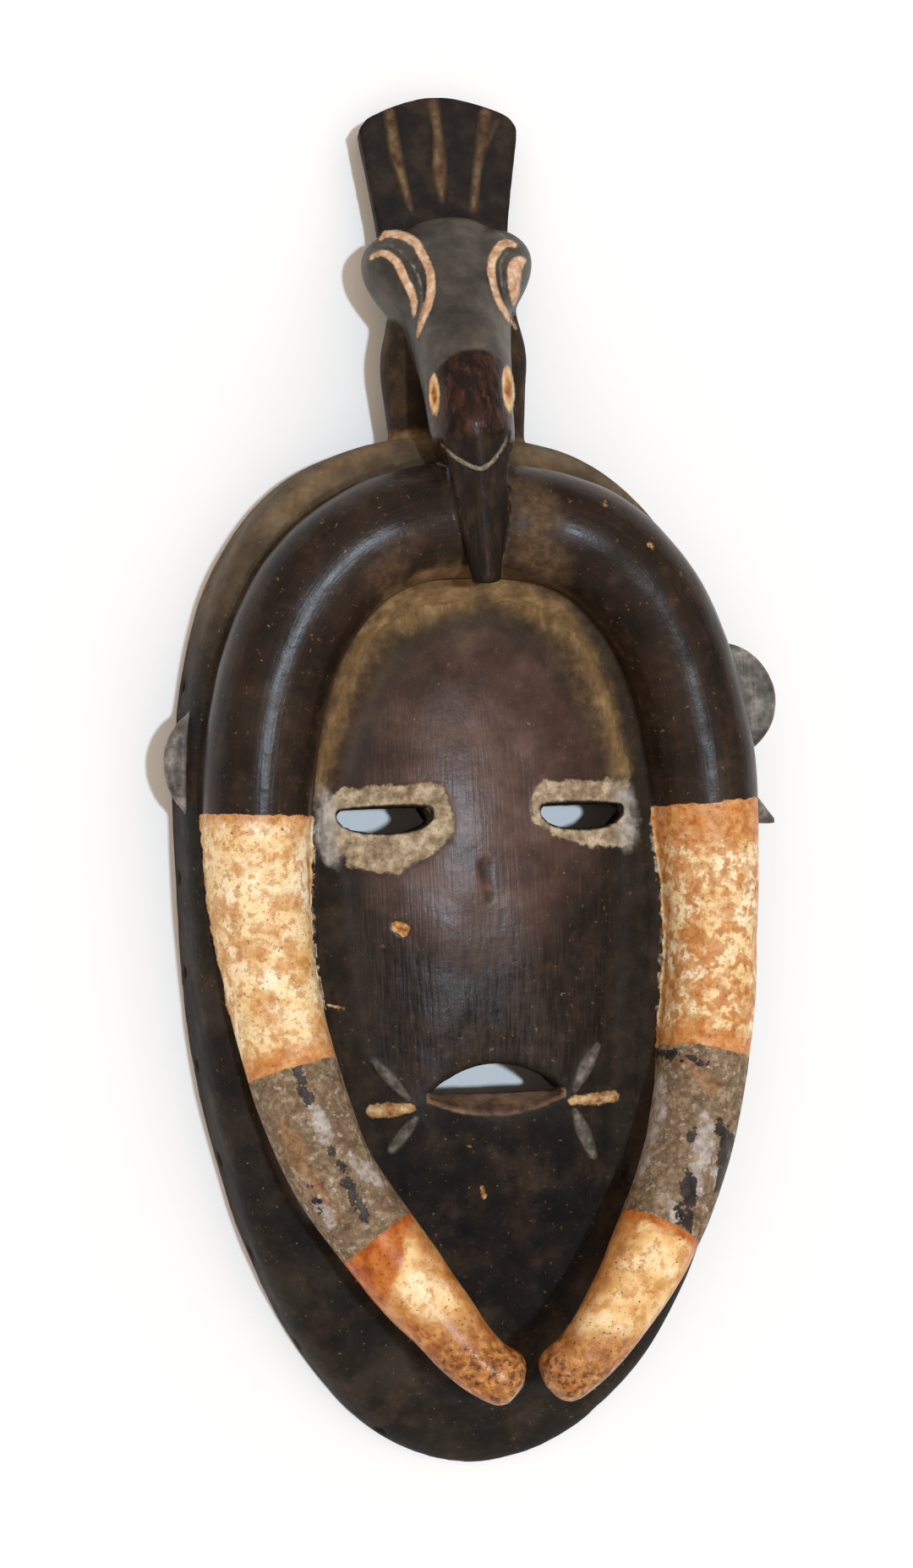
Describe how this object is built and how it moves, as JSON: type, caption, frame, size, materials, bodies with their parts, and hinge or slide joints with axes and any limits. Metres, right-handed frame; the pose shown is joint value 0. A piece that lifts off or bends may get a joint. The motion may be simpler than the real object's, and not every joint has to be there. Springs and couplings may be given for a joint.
{
  "type": "carved wooden face mask",
  "caption": "Oval carved wooden face mask with a hollow back, long horns framing the face, disc ears and a crested bird on the crown.",
  "frame": {"origin": "middle of the bounding box, on the plane of the rim's back face", "axes": "+Y from the chin to the bird's crest, +Z out of the face, +X to the viewer's right"},
  "size_m": [0.2014, 0.4402, 0.0806],
  "materials": {
    "lacquered_wood": "dark brown-black lacquer with cream, orange and grey painted bands, khaki dust in the grooves"
  },
  "bodies": {
    "root": {"mask": "lacquered_wood"}
  },
  "joints": []
}
